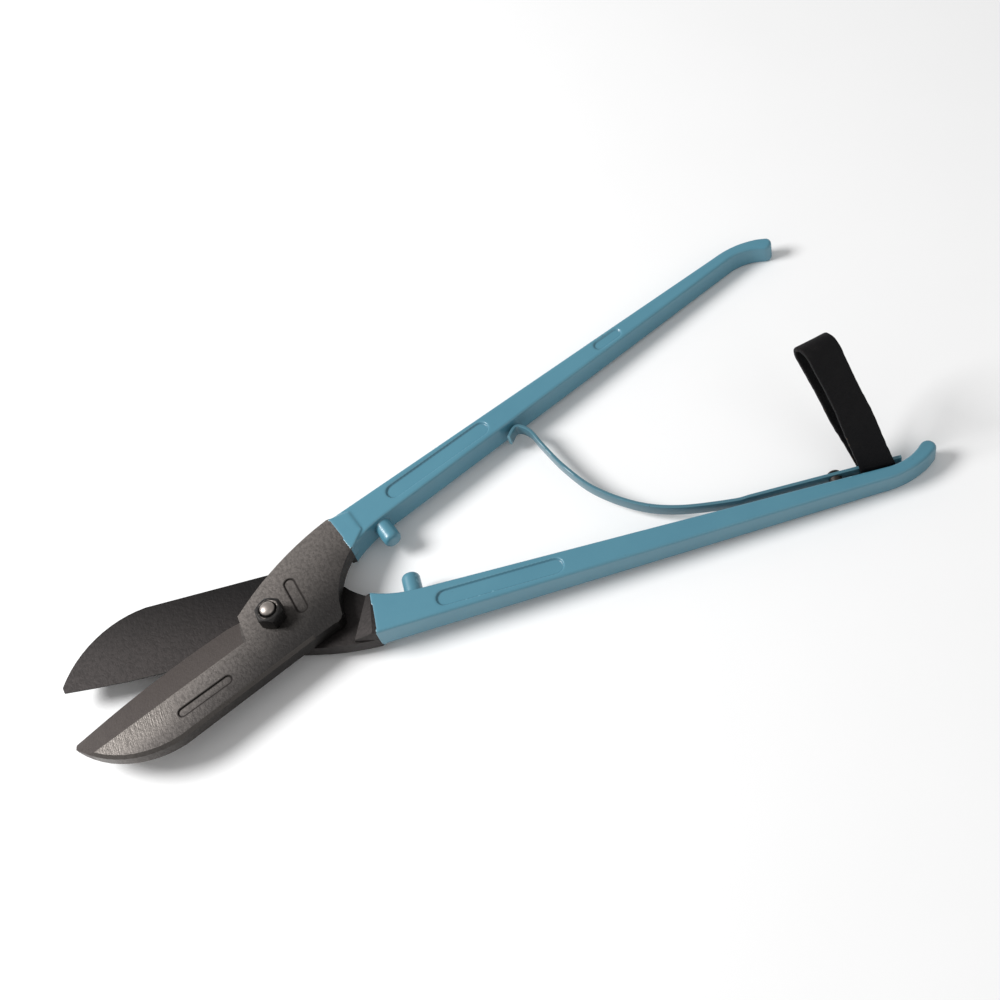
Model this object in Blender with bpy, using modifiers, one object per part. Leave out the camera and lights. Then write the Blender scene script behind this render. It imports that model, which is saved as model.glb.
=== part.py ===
"""Hand metal shear (tinsmith's straight snips), 14 inches long.

Two identical drop-forged levers, one turned over, cross at a bolt.  A leaf spring riveted
to the rear lever's handle pushes the front handle open, and a leather loop threaded on the
spring's tail holds the handles shut in the toolbox.

Frame: +X runs from the blades to the handles, +Y towards the front lever's handle and +Z out
of the nut.  The origin is on the bolt head's flat underside, on the line that the two levers
mirror each other about.  The bolt itself is drilled a little to one side of that line.
"""
import math

import bmesh
import bpy
from mathutils import Matrix, Vector

MM = 0.001

# ---- driving dimensions, in millimetres unless the name says degrees ------------------------
GAP = 0.3                       # clearance between pieces that touch on the real shear

# blade and head, in the lever's plane, handles as far open as the spring holds them
TIP_X = -92.0                   # blade's point
TIP_Y = -13.2                   # cutting edge at the point
NOSE = 2.6                      # blunt nose of the point
EDGE_END = (-14.0, 6.6)         # where the cutting edge meets the head
EDGE_RISE = 1.9                 # crown of the cutting edge
HEAD_RISE = 2.9                 # crown of the head's outer side
BELLY = (-50.0, -34.6)          # widest point of the blade's back
BELLY_RISE = 6.6
HEEL = (5.0, -21.4)             # the blade's back ends here and the heel begins
HEEL_CORNER = (21.0, -18.2)
ARC_FOOT = (25.6, -14.0)        # hollow inner side of the head, foot and top
ARC_TOP = (39.2, 11.2)
ARC_RISE = 3.0
HEAD_THICK = 6.0
BEVEL_WIDTH = 14.2              # ground bevel on the blade's face
EDGE_LAND = 0.7                 # thickness left at the cutting edge

# handle
OUTER_Y = 24.4                  # outer edge of the handle, as y = OUTER_Y + OUTER_SLOPE * x
OUTER_SLOPE = 0.1862
INNER_Y = 6.2                   # inner edge of the handle
INNER_SLOPE = 0.2397
HANDLE_HALF_HEAD = 5.45         # half the handle's thickness next to the head
HANDLE_HALF_END = 4.85
HANDLE_END_X = 263.5
FLARE_X = 56.0                  # the inner edge is straight from here on
CURL_X = 232.0                  # the last stretch curls inwards from here
EDGE_ROUND = 0.8                # rounded long edges of the forging
PAINT_X = 36.7                  # middle of the line where the enamel begins
SHOULDER = ((36.0, 10.6), (23.2, 29.2))   # the shoulder's foot, behind the head
SHOULDER_RUN = (3.0, 10.2)      # how far its slope runs at either end of that line

# sunk panels and the stop
PANEL_FROM, PANEL_TO, PANEL_WIDTH, PANEL_DEPTH = 61.5, 112.5, 7.2, 0.9
MARK_FROM, MARK_TO, MARK_WIDTH, MARK_DEPTH = 169.5, 183.0, 5.0, 0.7
BLADE_PANEL = ((-48.5, -24.6), (-24.4, -19.4), 3.8, 0.5)
HEAD_PANEL = ((9.9, 11.2), (11.8, -6.4), 4.6, 0.5)
STOP_X = 56.0                   # the two stop lugs meet at this distance from the pivot
STOP_Y = 9.3
STOP_RADIUS = 3.8

# pivot
PIVOT_X = -0.5
PIVOT_Y = -2.6
BOLT_RADIUS = 3.25
BOLT_HEAD_FLATS = 11.0
BOLT_HEAD_HEIGHT = 4.2
NUT_FLATS = 10.6
NUT_HEIGHT = 6.6
BOLT_DOME = 2.0                 # the bolt's end stands this far out of the nut

# return spring: leaf section and stand-off from the handle
LEAF_WIDTH = 5.6
LEAF_THICK = 1.4
LEAF_OFF = 4.2                  # leaf's middle above the handle's inner face
LEAF_TAIL_X = 247.6
LEAF_HOOK_X = 123.2
RIVET_RADIUS = 1.3
RIVET_DEPTH = 3.6               # how far a rivet goes into the handle
FRONT_RIVET = (222.0, 2.9, 1.7)   # place along the shear, radius and height of the head
REAR_RIVET = (238.2, 2.1, 1.1)    # the rear one sits inside the leather loop
COLLAR_RADIUS = 2.6

# leather keeper loop
STRAP_X = 238.2                 # its middle along the handle
STRAP_WIDTH = 13.8
STRAP_THICK = 1.7
STRAP_LENGTH = 57.5             # from the leaf to the outside of the bend
STRAP_BEND = 4.6                # middle radius of the far bend
STRAP_TILT_DEG = 57.0           # how far it stands up out of the levers' plane
STRAP_LEAN_DEG = 15.0           # how far it leans towards the blades
STRAP_TWIST_DEG = 20.0          # how far its far end is twisted

MID_Z = BOLT_HEAD_HEIGHT + GAP + HEAD_THICK + GAP / 2    # levers' mid-plane above the origin
HANDLE_DEG = math.degrees(math.atan(INNER_SLOPE))
PIVOT_PLACE = Matrix.Translation((PIVOT_X * MM, PIVOT_Y * MM, 0))


# ---- collections, materials and small helpers ------------------------------------------------
def clear_scene():
    for obj in list(bpy.data.objects):
        bpy.data.objects.remove(obj, do_unlink=True)


def new_collection(name):
    group = bpy.data.collections.new(name)
    bpy.context.scene.collection.children.link(group)
    return group


def material(name, color, roughness, metallic):
    mat = bpy.data.materials.new(name)
    mat.use_nodes = True
    shader = mat.node_tree.nodes["Principled BSDF"]
    shader.inputs["Base Color"].default_value = (*color, 1.0)
    shader.inputs["Roughness"].default_value = roughness
    shader.inputs["Metallic"].default_value = metallic
    return mat


def add_object(name, mesh, group):
    obj = bpy.data.objects.new(name, mesh)
    group.objects.link(obj)
    return obj


def baked(obj):
    """The evaluated object as a plain mesh, with loose seams welded."""
    graph = bpy.context.evaluated_depsgraph_get()
    mesh = bpy.data.meshes.new_from_object(obj.evaluated_get(graph))
    work = bmesh.new()
    work.from_mesh(mesh)
    bmesh.ops.remove_doubles(work, verts=work.verts, dist=1e-6)
    work.to_mesh(mesh)
    work.free()
    return mesh


def flatten(obj):
    """Turn an object with its modifiers into a plain mesh object of the same name."""
    mesh = baked(obj)
    matrix = obj.matrix_world.copy()
    group = obj.users_collection[0]
    name = obj.name
    bpy.data.objects.remove(obj, do_unlink=True)
    plain = add_object(name, mesh, group)
    plain.matrix_world = matrix
    return plain


def prism(name, outline, low, high):
    """A flat outline (points in mm) filled and thickened from z = low to z = high."""
    curve = bpy.data.curves.new(name, "CURVE")
    curve.dimensions = "2D"
    curve.fill_mode = "BOTH"
    curve.extrude = (high - low) / 2 * MM
    line = curve.splines.new("POLY")
    line.points.add(len(outline) - 1)
    for point, (x, y) in zip(line.points, outline):
        point.co = (x * MM, y * MM, 0, 1)
    line.use_cyclic_u = True
    obj = add_object(name, curve, tools)
    obj.location.z = (low + high) / 2 * MM
    bpy.context.view_layer.update()
    obj = flatten(obj)
    work = bmesh.new()
    work.from_mesh(obj.data)
    bmesh.ops.transform(work, matrix=obj.matrix_world, verts=work.verts)
    bmesh.ops.dissolve_limit(work, angle_limit=0.001, verts=work.verts, edges=work.edges)
    bmesh.ops.recalc_face_normals(work, faces=work.faces)
    work.to_mesh(obj.data)
    work.free()
    obj.matrix_world = Matrix()
    return obj


def cylinder(name, radius, low, high, sides=32, top_radius=None):
    work = bmesh.new()
    end = radius if top_radius is None else top_radius
    bmesh.ops.create_cone(work, cap_ends=True, segments=sides, radius1=radius * MM,
                          radius2=end * MM, depth=(high - low) * MM)
    bmesh.ops.translate(work, vec=(0, 0, (low + high) / 2 * MM), verts=work.verts)
    mesh = bpy.data.meshes.new(name)
    work.to_mesh(mesh)
    work.free()
    return add_object(name, mesh, tools)


def turned(name, profile, sides=32):
    """A solid of revolution about Z from (radius, z) points that run down its outer side."""
    work = bmesh.new()
    corners = [work.verts.new((r * MM, 0, z * MM)) for r, z in profile]
    for one, two in zip(corners, corners[1:]):
        work.edges.new((one, two))
    mesh = bpy.data.meshes.new(name)
    work.to_mesh(mesh)
    work.free()
    obj = add_object(name, mesh, tools)
    screw = obj.modifiers.new("turn", "SCREW")
    screw.steps = sides
    screw.render_steps = sides
    screw.use_merge_vertices = True
    screw.merge_threshold = 0.00001
    bpy.context.view_layer.update()
    return flatten(obj)


def move(obj, matrix):
    obj.data.transform(matrix)
    return obj


def join_shape(target, tool, operation):
    """Boolean the tool into the target, then drop the tool."""
    tool.display_type = "WIRE"
    tool.hide_render = True
    cut = target.modifiers.new("cut", "BOOLEAN")
    cut.operation = operation
    cut.solver = "EXACT"
    cut.object = tool
    bpy.context.view_layer.update()
    target = flatten(target)
    bpy.data.objects.remove(tool, do_unlink=True)
    return target


def round_edges(obj, width, segments, above_deg):
    bevel = obj.modifiers.new("round", "BEVEL")
    bevel.width = width * MM
    bevel.segments = segments
    bevel.limit_method = "ANGLE"
    bevel.angle_limit = math.radians(above_deg)
    bevel.use_clamp_overlap = True
    bpy.context.view_layer.update()
    return flatten(obj)


def arc(start, end, rise, count):
    """Points of the arc from start to end, which bulges left of that direction by rise."""
    a = Vector(start)
    b = Vector(end)
    chord = b - a
    half = chord.length / 2
    side = Vector((-chord.y, chord.x)).normalized()
    radius = (half * half + rise * rise) / (2 * abs(rise))
    sweep = 2 * math.asin(min(1.0, half / radius))
    centre = (a + b) / 2 + side * (rise - math.copysign(radius, rise))
    spoke = a - centre
    turn = -math.copysign(sweep, rise)
    points = []
    for i in range(count + 1):
        angle = turn * i / count
        c, s = math.cos(angle), math.sin(angle)
        points.append((centre.x + c * spoke.x - s * spoke.y, centre.y + s * spoke.x + c * spoke.y))
    return points


def inner_edge(x):
    return INNER_Y + INNER_SLOPE * x


def outer_edge(x):
    return OUTER_Y + OUTER_SLOPE * x


def middle_edge(x):
    return (inner_edge(x) + outer_edge(x)) / 2


def stadium(start, end, width, count=8):
    """Outline of a round-ended slot from start to end, the tips of its two ends."""
    a = Vector(start)
    b = Vector(end)
    along = (b - a).normalized()
    side = Vector((-along.y, along.x)) * width / 2
    a += along * width / 2
    b -= along * width / 2
    right = arc(b - side, b + side, -width / 2 * 0.999, count)
    left = arc(a + side, a - side, -width / 2 * 0.999, count)
    return right + left


# ---- the forged lever -----------------------------------------------------------------------
def blade_outline():
    edge = arc((TIP_X, TIP_Y), EDGE_END, EDGE_RISE, 12)
    head = arc((EDGE_END[0] + 0.4, EDGE_END[1] - 1.0), (34.0, 29.9), HEAD_RISE, 10)
    hollow = arc(ARC_TOP, ARC_FOOT, -ARC_RISE, 10)
    heel = arc(ARC_FOOT, HEEL_CORNER, 1.6, 4)
    belly = arc(BELLY, (TIP_X - 0.2, TIP_Y - NOSE), BELLY_RISE, 12)
    neck = [(44.0, 29.0), (46.0, 18.0)]
    return edge[:-1] + head + neck + hollow + heel[1:] + [HEEL] + belly


def handle_outline():
    flare = arc((ARC_TOP[0] - 0.6, ARC_TOP[1] + 0.4), (FLARE_X, inner_edge(FLARE_X)), 0.9, 5)
    curl_in = arc((CURL_X + 8, inner_edge(CURL_X + 8)), (257.0, 61.3), 1.9, 7)
    nose = arc((257.0, 61.3), (259.8, 66.8), -3.6, 9)
    curl_out = arc((259.8, 66.8), (CURL_X + 4, outer_edge(CURL_X + 4)), -1.9, 8)
    head_side = [(33.0, 29.6), (26.5, 26.9), (20.3, 24.2), (20.0, 12.0), (31.0, 12.2)]
    return flare + curl_in + nose[1:] + curl_out[1:] + head_side


def handle_half(x):
    """Half the handle's thickness (mm) at a distance x (mm) from the pivot."""
    share = max(0.0, min(1.0, (x - PAINT_X) / (HANDLE_END_X - PAINT_X)))
    return HANDLE_HALF_HEAD + (HANDLE_HALF_END - HANDLE_HALF_HEAD) * share


def shoulder_cutter(face):
    """Everything behind the shoulder: its slope is steep at the neck and gentle outside."""
    foot = Vector((*SHOULDER[0], 0)) * MM
    along = Vector((SHOULDER[1][0] - SHOULDER[0][0], SHOULDER[1][1] - SHOULDER[0][1], 0))
    length = along.length
    along.normalize()
    away = Vector((along.y, -along.x, 0))
    drop = -HANDLE_HALF_HEAD
    section = [(-70.0, 2 * drop), (2.0, 2 * drop), (1.0, drop), (0.0, face), (-70.0, face)]
    tool = prism("shoulder", section, -5.0, 32.0)
    for vert in tool.data.vertices:
        run = SHOULDER_RUN[0] + (SHOULDER_RUN[1] - SHOULDER_RUN[0]) * vert.co.z / (length * MM)
        if vert.co.x > 0:
            vert.co.x *= run
    frame = Matrix((away, Vector((0, 0, 1)), along)).transposed().to_4x4()
    frame.translation = foot
    tool = move(tool, frame)
    work = bmesh.new()
    work.from_mesh(tool.data)
    bmesh.ops.triangulate(work, faces=work.faces)
    bmesh.ops.recalc_face_normals(work, faces=work.faces)
    work.to_mesh(tool.data)
    work.free()
    return tool


def make_lever(name, group):
    """One forging, drawn as the front lever; its flat inner face lies GAP/2 above z = 0."""
    face = GAP / 2
    top = face + HEAD_THICK

    # handle bar: outline, tapering thickness, then rounded long edges
    bar = prism("bar", handle_outline(), -1.0, 1.0)
    for vert in bar.data.vertices:
        vert.co.z *= handle_half(vert.co.x / MM)
    bar = round_edges(bar, EDGE_ROUND, 2, 50)

    # shoulder: behind the head the bar is cut back to the flat inner face
    bar = join_shape(bar, shoulder_cutter(face), "DIFFERENCE")

    # blade and head plate
    plate = prism("plate", blade_outline(), face, top)
    plate = join_shape(plate, bevel_cutter(face, top), "DIFFERENCE")
    plate = join_shape(plate, spine_cutter(top), "DIFFERENCE")

    lever = join_shape(plate, bar, "UNION")
    lever = join_shape(lever, stop_lug(), "UNION")
    for tool in sunk_panels(top):
        lever = join_shape(lever, tool, "DIFFERENCE")
    lever.name = name
    group.objects.link(lever)
    tools.objects.unlink(lever)
    return lever


def drilled(lever):
    """The lever with its bolt hole, which is drilled on the pivot's axis."""
    hole = move(cylinder("bolt_hole", BOLT_RADIUS + GAP, -12, 12), PIVOT_PLACE)
    return join_shape(lever, hole, "DIFFERENCE")


def bevel_cutter(face, top):
    """The stone that grinds the blade: a ruled face from a straight ridge to the curved edge."""
    edge = arc((TIP_X, TIP_Y), EDGE_END, EDGE_RISE, 12)
    run = Vector((EDGE_END[0] - TIP_X, EDGE_END[1] - TIP_Y)).normalized()
    inward = Vector((run.y, -run.x))
    ridge_slope = math.tan(math.radians(12.7))
    work = bmesh.new()
    bmesh.ops.create_grid(work, x_segments=12, y_segments=2, size=1.0)
    rows = sorted({round(v.co.y, 4) for v in work.verts})
    columns = sorted({round(v.co.x, 4) for v in work.verts})
    for vert in work.verts:
        i = columns.index(round(vert.co.x, 4))
        row = rows.index(round(vert.co.y, 4))
        ex, ey = edge[i]
        if i == 0:
            ex, ey = ex - run.x * 6, ey - run.y * 6
        ridge = Vector((ex, -7.6 + (ex + 15.9) * ridge_slope))
        depth = (ridge - Vector((ex, ey))).length
        slope = (HEAD_THICK - EDGE_LAND) / depth
        if row == 0:
            spot = ridge + Vector((0, -1.5))
            height = top + 1.5 * slope
        elif row == 1:
            spot = Vector((ex, ey))
            height = face + EDGE_LAND
        else:
            spot = Vector((ex, ey + 4.0))
            height = face + EDGE_LAND - 4.0 * slope
        vert.co = (spot.x * MM, spot.y * MM, height * MM)
    mesh = bpy.data.meshes.new("bevel_stone")
    bmesh.ops.recalc_face_normals(work, faces=work.faces)
    lift = bmesh.ops.extrude_face_region(work, geom=work.faces[:])
    raised = [item for item in lift["geom"] if isinstance(item, bmesh.types.BMVert)]
    bmesh.ops.translate(work, vec=(0, 0, 12 * MM), verts=raised)
    bmesh.ops.recalc_face_normals(work, faces=work.faces)
    work.to_mesh(mesh)
    work.free()
    return add_object("bevel_stone", mesh, tools)


def spine_cutter(top):
    """Takes the corner off the blade's back, from the heel to the point."""
    belly = arc(BELLY, (TIP_X - 0.2, TIP_Y - NOSE), BELLY_RISE, 10)
    back = [(12.0, -19.8), HEEL] + belly + [(TIP_X - 3.0, TIP_Y - NOSE + 5.0)]
    line = bpy.data.curves.new("spine_stone", "CURVE")
    line.dimensions = "3D"
    run = line.splines.new("POLY")
    run.points.add(len(back) - 1)
    for point, (x, y) in zip(run.points, back):
        point.co = (x * MM, y * MM, top * MM, 1)
    line.bevel_depth = 1.3 * MM
    line.bevel_resolution = 0
    line.use_fill_caps = True
    obj = add_object("spine_stone", line, tools)
    bpy.context.view_layer.update()
    return flatten(obj)


def stop_lug():
    """Round stop on the inner side of the handle; its flat end meets the other lever's."""
    close = math.atan2(STOP_Y, STOP_X)
    lug = cylinder("lug", STOP_RADIUS, 0.0, 14.0, 24)
    lug = round_edges(lug, 1.5, 3, 60)
    turn = Matrix.Rotation(-math.pi / 2, 4, "X")
    lean = Matrix.Rotation(close, 4, "Z")
    place = Matrix.Translation((STOP_X * MM, STOP_Y * MM, 0))
    return move(lug, place @ lean @ turn)


def sunk_panels(top):
    """Cutters for the long panels on both faces, the small mark and the two head panels."""
    slots = []
    for side in (1, -1):
        start = (PANEL_FROM, middle_edge(PANEL_FROM))
        end = (PANEL_TO, middle_edge(PANEL_TO))
        floor = handle_half((PANEL_FROM + PANEL_TO) / 2) - PANEL_DEPTH
        slots.append(sloped_slot(stadium(start, end, PANEL_WIDTH), floor, side))
    mark = stadium((MARK_FROM, middle_edge(MARK_FROM)), (MARK_TO, middle_edge(MARK_TO)), MARK_WIDTH)
    slots.append(sloped_slot(mark, handle_half(MARK_TO) - MARK_DEPTH, 1))
    for start, end, width, depth in (BLADE_PANEL, HEAD_PANEL):
        slots.append(sloped_slot(stadium(start, end, width, 6), top - depth, 1))
    return slots


def sloped_slot(outline, floor, side):
    """A slot cutter whose walls lean outwards by a few degrees, as a forging die leaves them."""
    height = 4.0
    low, high = (floor, floor + height) if side > 0 else (-floor - height, -floor)
    tool = prism("slot", outline, low, high)
    centre = sum((v.co for v in tool.data.vertices), Vector()) / len(tool.data.vertices)
    for vert in tool.data.vertices:
        if abs(vert.co.z) / MM > floor + height / 2:
            arm = vert.co - centre
            vert.co.x += arm.normalized().x * 0.9 * MM
            vert.co.y += arm.normalized().y * 0.9 * MM
    return tool


# ---- pivot ----------------------------------------------------------------------------------
def make_bolt():
    """Hexagon head under the rear lever, plain shank, rounded end above the nut."""
    radius = BOLT_HEAD_FLATS / 2 / math.cos(math.pi / 6)
    low = -MID_Z
    head = cylinder("bolt_head", radius, low, low + BOLT_HEAD_HEIGHT, 6)
    end = HEAD_THICK + GAP * 1.5 + NUT_HEIGHT
    profile = [(0.0, end + BOLT_DOME), (1.2, end + BOLT_DOME * 0.95), (2.2, end + BOLT_DOME * 0.72),
               (BOLT_RADIUS - 0.25, end + 0.3), (BOLT_RADIUS, end - 0.4), (BOLT_RADIUS, low + 1.0),
               (0.0, low + 1.0)]
    return move(join_shape(head, turned("shank", profile), "UNION"), PIVOT_PLACE)


def make_nut():
    """Hexagon nut with its top corners turned off."""
    radius = NUT_FLATS / 2 / math.cos(math.pi / 6)
    low = HEAD_THICK + GAP * 1.5
    nut = cylinder("nut", radius, low, low + NUT_HEIGHT, 6)
    keep = turned("nut_turning", [(0.0, low + NUT_HEIGHT), (NUT_FLATS / 2 - 0.3, low + NUT_HEIGHT),
                                  (radius + 0.15, low + NUT_HEIGHT - 0.75), (radius + 0.15, low),
                                  (0.0, low)])
    nut = join_shape(nut, keep, "INTERSECT")
    nut = join_shape(nut, cylinder("nut_bore", BOLT_RADIUS + GAP, low - 2, low + 12), "DIFFERENCE")
    return move(nut, PIVOT_PLACE)


# ---- return spring --------------------------------------------------------------------------
def handle_point(x, off):
    """A point above the rear handle's inner face: x along the shear, off mm clear of the face."""
    angle = math.radians(HANDLE_DEG)
    return Vector((x + off * math.sin(angle), -inner_edge(x) + off * math.cos(angle)))


def leaf_path():
    """Middle line of the leaf, from its tail on the rear handle to the hook's end."""
    tail = handle_point(LEAF_TAIL_X, LEAF_OFF)
    root = handle_point(190.0, LEAF_OFF)
    bend = [root, handle_point(182.0, LEAF_OFF + 0.1), Vector((163.8, -37.4)), Vector((150.2, -27.2)),
            Vector((138.6, -11.6)), Vector((132.4, 4.6)), Vector((129.0, 20.0)), Vector((127.4, 28.8))]
    hook = [Vector((LEAF_HOOK_X, 33.8)), Vector((118.2, 30.2))]
    return [tail, (tail * 2 + root) / 3, (tail + root * 2) / 3] + bend + hook


def smooth_line(points, steps):
    """Catmull-Rom curve through the points."""
    line = []
    for i in range(len(points) - 1):
        p0 = points[max(i - 1, 0)]
        p1, p2 = points[i], points[i + 1]
        p3 = points[min(i + 2, len(points) - 1)]
        for k in range(steps):
            t = k / steps
            line.append(0.5 * ((2 * p1) + (p2 - p0) * t + (2 * p0 - 5 * p1 + 4 * p2 - p3) * t * t
                               + (3 * p1 - p0 - 3 * p2 + p3) * t ** 3))
    line.append(points[-1])
    return line


def ribbon_outline(line, thickness):
    """Closed outline of a ribbon seen edge on, around its middle line."""
    left, right = [], []
    for i, spot in enumerate(line):
        ahead = line[min(i + 1, len(line) - 1)] - line[max(i - 1, 0)]
        side = Vector((-ahead.y, ahead.x)).normalized() * thickness / 2
        left.append(spot + side)
        right.append(spot - side)
    return [tuple(p) for p in left + right[::-1]]


def on_handle(x):
    """Matrix that stands a tool's Z axis up from the rear handle's inner face at x."""
    spot = handle_point(x, 0.0) * MM
    tilt = Matrix.Rotation(-math.radians(HANDLE_DEG), 4, "Z")
    up = Matrix.Rotation(-math.pi / 2, 4, "X")
    return Matrix.Translation((spot.x, spot.y, 0)) @ tilt @ up


def make_leaf():
    leaf = prism("leaf", ribbon_outline(smooth_line(leaf_path(), 5), LEAF_THICK),
                 -LEAF_WIDTH / 2, LEAF_WIDTH / 2)
    for x, _, _ in (FRONT_RIVET, REAR_RIVET):
        hole = move(cylinder("leaf_hole", RIVET_RADIUS + 0.25, 1.0, 9.0, 20), on_handle(x))
        leaf = join_shape(leaf, hole, "DIFFERENCE")
    return leaf


def make_rivet(x, head, height):
    """Round-headed drive rivet through the leaf into the handle."""
    seat = LEAF_OFF + LEAF_THICK / 2 + 0.2
    crown = seat + height
    profile = [(0.0, crown), (head * 0.5, crown - height * 0.1), (head * 0.85, crown - height * 0.45),
               (head, seat), (RIVET_RADIUS, seat), (RIVET_RADIUS, -RIVET_DEPTH + 0.4),
               (RIVET_RADIUS - 0.4, -RIVET_DEPTH), (0.0, -RIVET_DEPTH)]
    return move(turned("rivet", profile, 20), on_handle(x))


def make_collar(x):
    """Collar that keeps the leaf as far from the handle as the leather does at its tail."""
    high = LEAF_OFF - LEAF_THICK / 2 - 0.2
    collar = cylinder("collar", COLLAR_RADIUS, 0.25, high, 20)
    collar = join_shape(collar, cylinder("collar_bore", RIVET_RADIUS + 0.25, -2, 8, 20), "DIFFERENCE")
    return move(collar, on_handle(x))


# ---- leather keeper -------------------------------------------------------------------------
def strap_frame():
    """Matrix of the loop: X across the loop, Y up its length, Z along the spring's leaf."""
    along = Vector((math.cos(math.radians(HANDLE_DEG)), -math.sin(math.radians(HANDLE_DEG)), 0))
    off = Vector((-along.y, along.x, 0))
    tilt = math.radians(STRAP_TILT_DEG)
    up = off * math.cos(tilt) + Vector((0, 0, 1)) * math.sin(tilt)
    across = up.cross(along)
    spot = handle_point(STRAP_X, LEAF_OFF) * MM
    frame = Matrix((across, up, along)).transposed().to_4x4()
    frame.translation = (spot.x, spot.y, 0)
    return frame


def strap_section(off):
    """Outline of the loop seen along the leaf, off mm clear of the leaf's section inside it."""
    tilt = math.radians(STRAP_TILT_DEG)
    wide = Vector((-math.cos(tilt), math.sin(tilt))) * LEAF_WIDTH / 2
    thin = Vector((math.sin(tilt), math.cos(tilt))) * LEAF_THICK / 2
    corners = (thin - wide, -wide - thin, wide - thin)
    starts = (0.0, -tilt, -tilt - math.pi / 2)
    ends = (-tilt, -tilt - math.pi / 2, -math.pi)
    foot = []
    for corner, start, end in zip(corners, starts, ends):
        for i in range(4):
            angle = start + (end - start) * i / 3
            foot.append((corner.x + off * math.cos(angle), corner.y + off * math.sin(angle)))
    bend = STRAP_BEND + off - GAP - STRAP_THICK / 2
    bend_y = STRAP_LENGTH - STRAP_BEND - STRAP_THICK / 2
    return foot + arc((-bend, bend_y), (bend, bend_y), bend * 0.999, 10)


def make_strap():
    """A band of leather closed round the leaf; the rear rivet goes through its lower layer."""
    half = STRAP_WIDTH / 2
    band = prism("band", strap_section(GAP + STRAP_THICK), -half, half)
    inside = prism("inside", strap_section(GAP), -half - 1, half + 1)
    band = join_shape(band, inside, "DIFFERENCE")
    work = bmesh.new()
    work.from_mesh(band.data)
    lean = math.tan(math.radians(STRAP_LEAN_DEG))
    for k in range(1, 6):
        geom = work.verts[:] + work.edges[:] + work.faces[:]
        level = k * STRAP_LENGTH / 6 * MM
        bmesh.ops.bisect_plane(work, geom=geom, plane_co=(0, level, 0), plane_no=(0, 1, 0))
    for vert in work.verts:
        height = max(0.0, vert.co.y)
        share = height / (STRAP_LENGTH * MM)
        twist = math.radians(STRAP_TWIST_DEG) * min(1.0, 2.0 * share)
        wide, deep = vert.co.z, vert.co.x
        vert.co.x = deep * math.cos(twist) + wide * math.sin(twist)
        vert.co.y += 0.3 * lean * wide * share
        vert.co.z = wide * math.cos(twist) - deep * math.sin(twist) - lean * height
    work.to_mesh(band.data)
    work.free()
    band = move(band, strap_frame())
    hole = move(cylinder("strap_hole", RIVET_RADIUS + 0.4, -1.0, LEAF_OFF, 20), on_handle(REAR_RIVET[0]))
    return join_shape(band, hole, "DIFFERENCE")


# ---- assembly -------------------------------------------------------------------------------
clear_scene()
shear = new_collection("metal_shear")
tools = new_collection("cutters")

enamel = material("blue_enamel", (0.105, 0.300, 0.395), 0.38, 0.0)
spring_enamel = material("spring_enamel", (0.100, 0.290, 0.380), 0.40, 0.0)
rear_enamel = material("rear_enamel", (0.105, 0.300, 0.395), 0.40, 0.0)
black_steel = material("black_steel", (0.03, 0.03, 0.032), 0.45, 1.0)
nut_steel = material("nut_steel", (0.045, 0.045, 0.047), 0.40, 1.0)
rivet_steel = material("rivet_steel", (0.02, 0.02, 0.022), 0.45, 1.0)
collar_steel = material("collar_steel", (0.025, 0.025, 0.027), 0.5, 1.0)
hidden_steel = material("hidden_rivet_steel", (0.02, 0.02, 0.022), 0.45, 1.0)
leather = material("black_leather", (0.014, 0.013, 0.013), 0.7, 0.0)

pivot = bpy.data.objects.new("pivot_axis", None)
shear.objects.link(pivot)
pivot.location = (PIVOT_X * MM, PIVOT_Y * MM, MID_Z * MM)
keeper_hinge = bpy.data.objects.new("keeper_hinge", None)
shear.objects.link(keeper_hinge)
keeper_hinge.location = strap_frame().translation + Vector((0, 0, MID_Z * MM))


def finish_node(obj, name, mat, hinge=pivot):
    """Name a piece, give it its material and hang it on its hinge's axis."""
    obj.name = name
    obj.data.name = name
    obj.data.materials.clear()
    obj.data.materials.append(mat)
    obj.data.shade_smooth()
    obj.data.set_sharp_from_angle(angle=math.radians(35))
    if obj.name not in shear.objects:
        shear.objects.link(obj)
    for group in list(obj.users_collection):
        if group != shear:
            group.objects.unlink(obj)
    obj.parent = hinge
    obj.matrix_parent_inverse = Matrix.Translation(Vector((0, 0, MID_Z * MM)) - hinge.location)
    return obj


forging = make_lever("forging", shear)
rear = add_object("rear_blank", forging.data.copy(), tools)
finish_node(drilled(forging), "front_lever", enamel)

rear.data.transform(Matrix.Rotation(math.pi, 4, "X"))
rear = drilled(rear)
for rivet_x, _, _ in (FRONT_RIVET, REAR_RIVET):
    hole = cylinder("rivet_hole", RIVET_RADIUS + 0.25, -RIVET_DEPTH - GAP, 3.0, 20)
    rear = join_shape(rear, move(hole, on_handle(rivet_x)), "DIFFERENCE")
finish_node(rear, "rear_lever", rear_enamel)

finish_node(make_bolt(), "pivot_bolt", black_steel)
finish_node(make_nut(), "pivot_nut", nut_steel)
finish_node(make_leaf(), "return_spring", spring_enamel)
finish_node(make_rivet(*FRONT_RIVET), "spring_rivet_front", rivet_steel)
finish_node(make_rivet(*REAR_RIVET), "spring_rivet_rear", hidden_steel)
finish_node(make_collar(FRONT_RIVET[0]), "spring_collar", collar_steel)
finish_node(make_strap(), "keeper_strap", leather, keeper_hinge)
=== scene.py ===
# %% [markdown]
# # A hand metal shear
# A pair of 14 inch tinsmith's snips: two drop-forged levers that cross at a bolt, ground bare
# at the blades and dipped in blue enamel at the handles, a leaf spring that opens them and a
# leather loop that keeps them shut.  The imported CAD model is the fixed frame.  Every piece
# below is put where that frame says and rides on one of its bodies.

# %% Load the frame
import math

import bmesh
import bpy
from mathutils import Matrix, Vector, noise


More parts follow.
